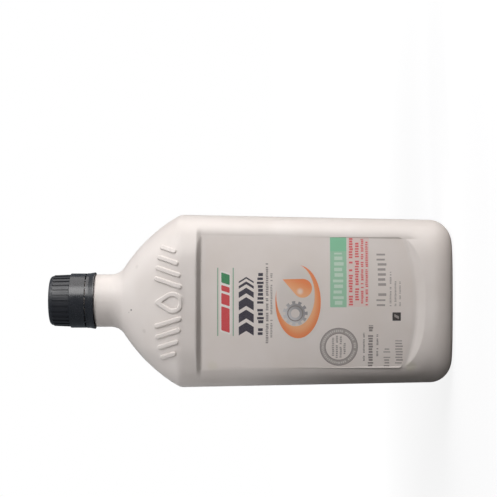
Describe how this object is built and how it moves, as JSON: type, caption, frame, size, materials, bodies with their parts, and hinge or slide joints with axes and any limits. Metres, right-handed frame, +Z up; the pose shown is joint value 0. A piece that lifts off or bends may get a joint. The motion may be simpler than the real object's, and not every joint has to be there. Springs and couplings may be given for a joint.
{
  "type": "motor oil bottle",
  "caption": "Flat blow-moulded plastic motor oil bottle with recessed label panels, a printed front label, and a black ribbed screw cap over a tamper band; the cap unscrews and lifts off.",
  "frame": {"origin": "centre of the base, on the surface that the bottle stands on", "axes": "+Z up along the neck's axis, +X along the width, the front label faces -Y"},
  "size_m": [0.102, 0.0679, 0.236],
  "materials": {
    "bottle_plastic": "satin",
    "cap_plastic": "satin",
    "liner_foam": "matte",
    "label_film": "satin"
  },
  "bodies": {
    "bottle": {"bottle": "bottle_plastic", "tamper_band": "cap_plastic", "front_label": "label_film"},
    "liner": {"cap_liner": "liner_foam"},
    "cap": {"cap": "cap_plastic"}
  },
  "joints": [
    {"name": "cap_lift", "type": "slide", "parent": "bottle", "child": "liner", "axis": [0, 0, 1], "range_m": [0, 0.0424]},
    {"name": "cap_turn", "type": "hinge", "parent": "liner", "child": "cap", "pos_m": [0, 0, 0.2226], "axis": [0, 0, 1], "range_deg": [0, 3600]}
  ],
  "couplings": [
    {"joint": "cap_lift", "follows": "cap_turn", "m_per_rad": 0.00067323}
  ]
}
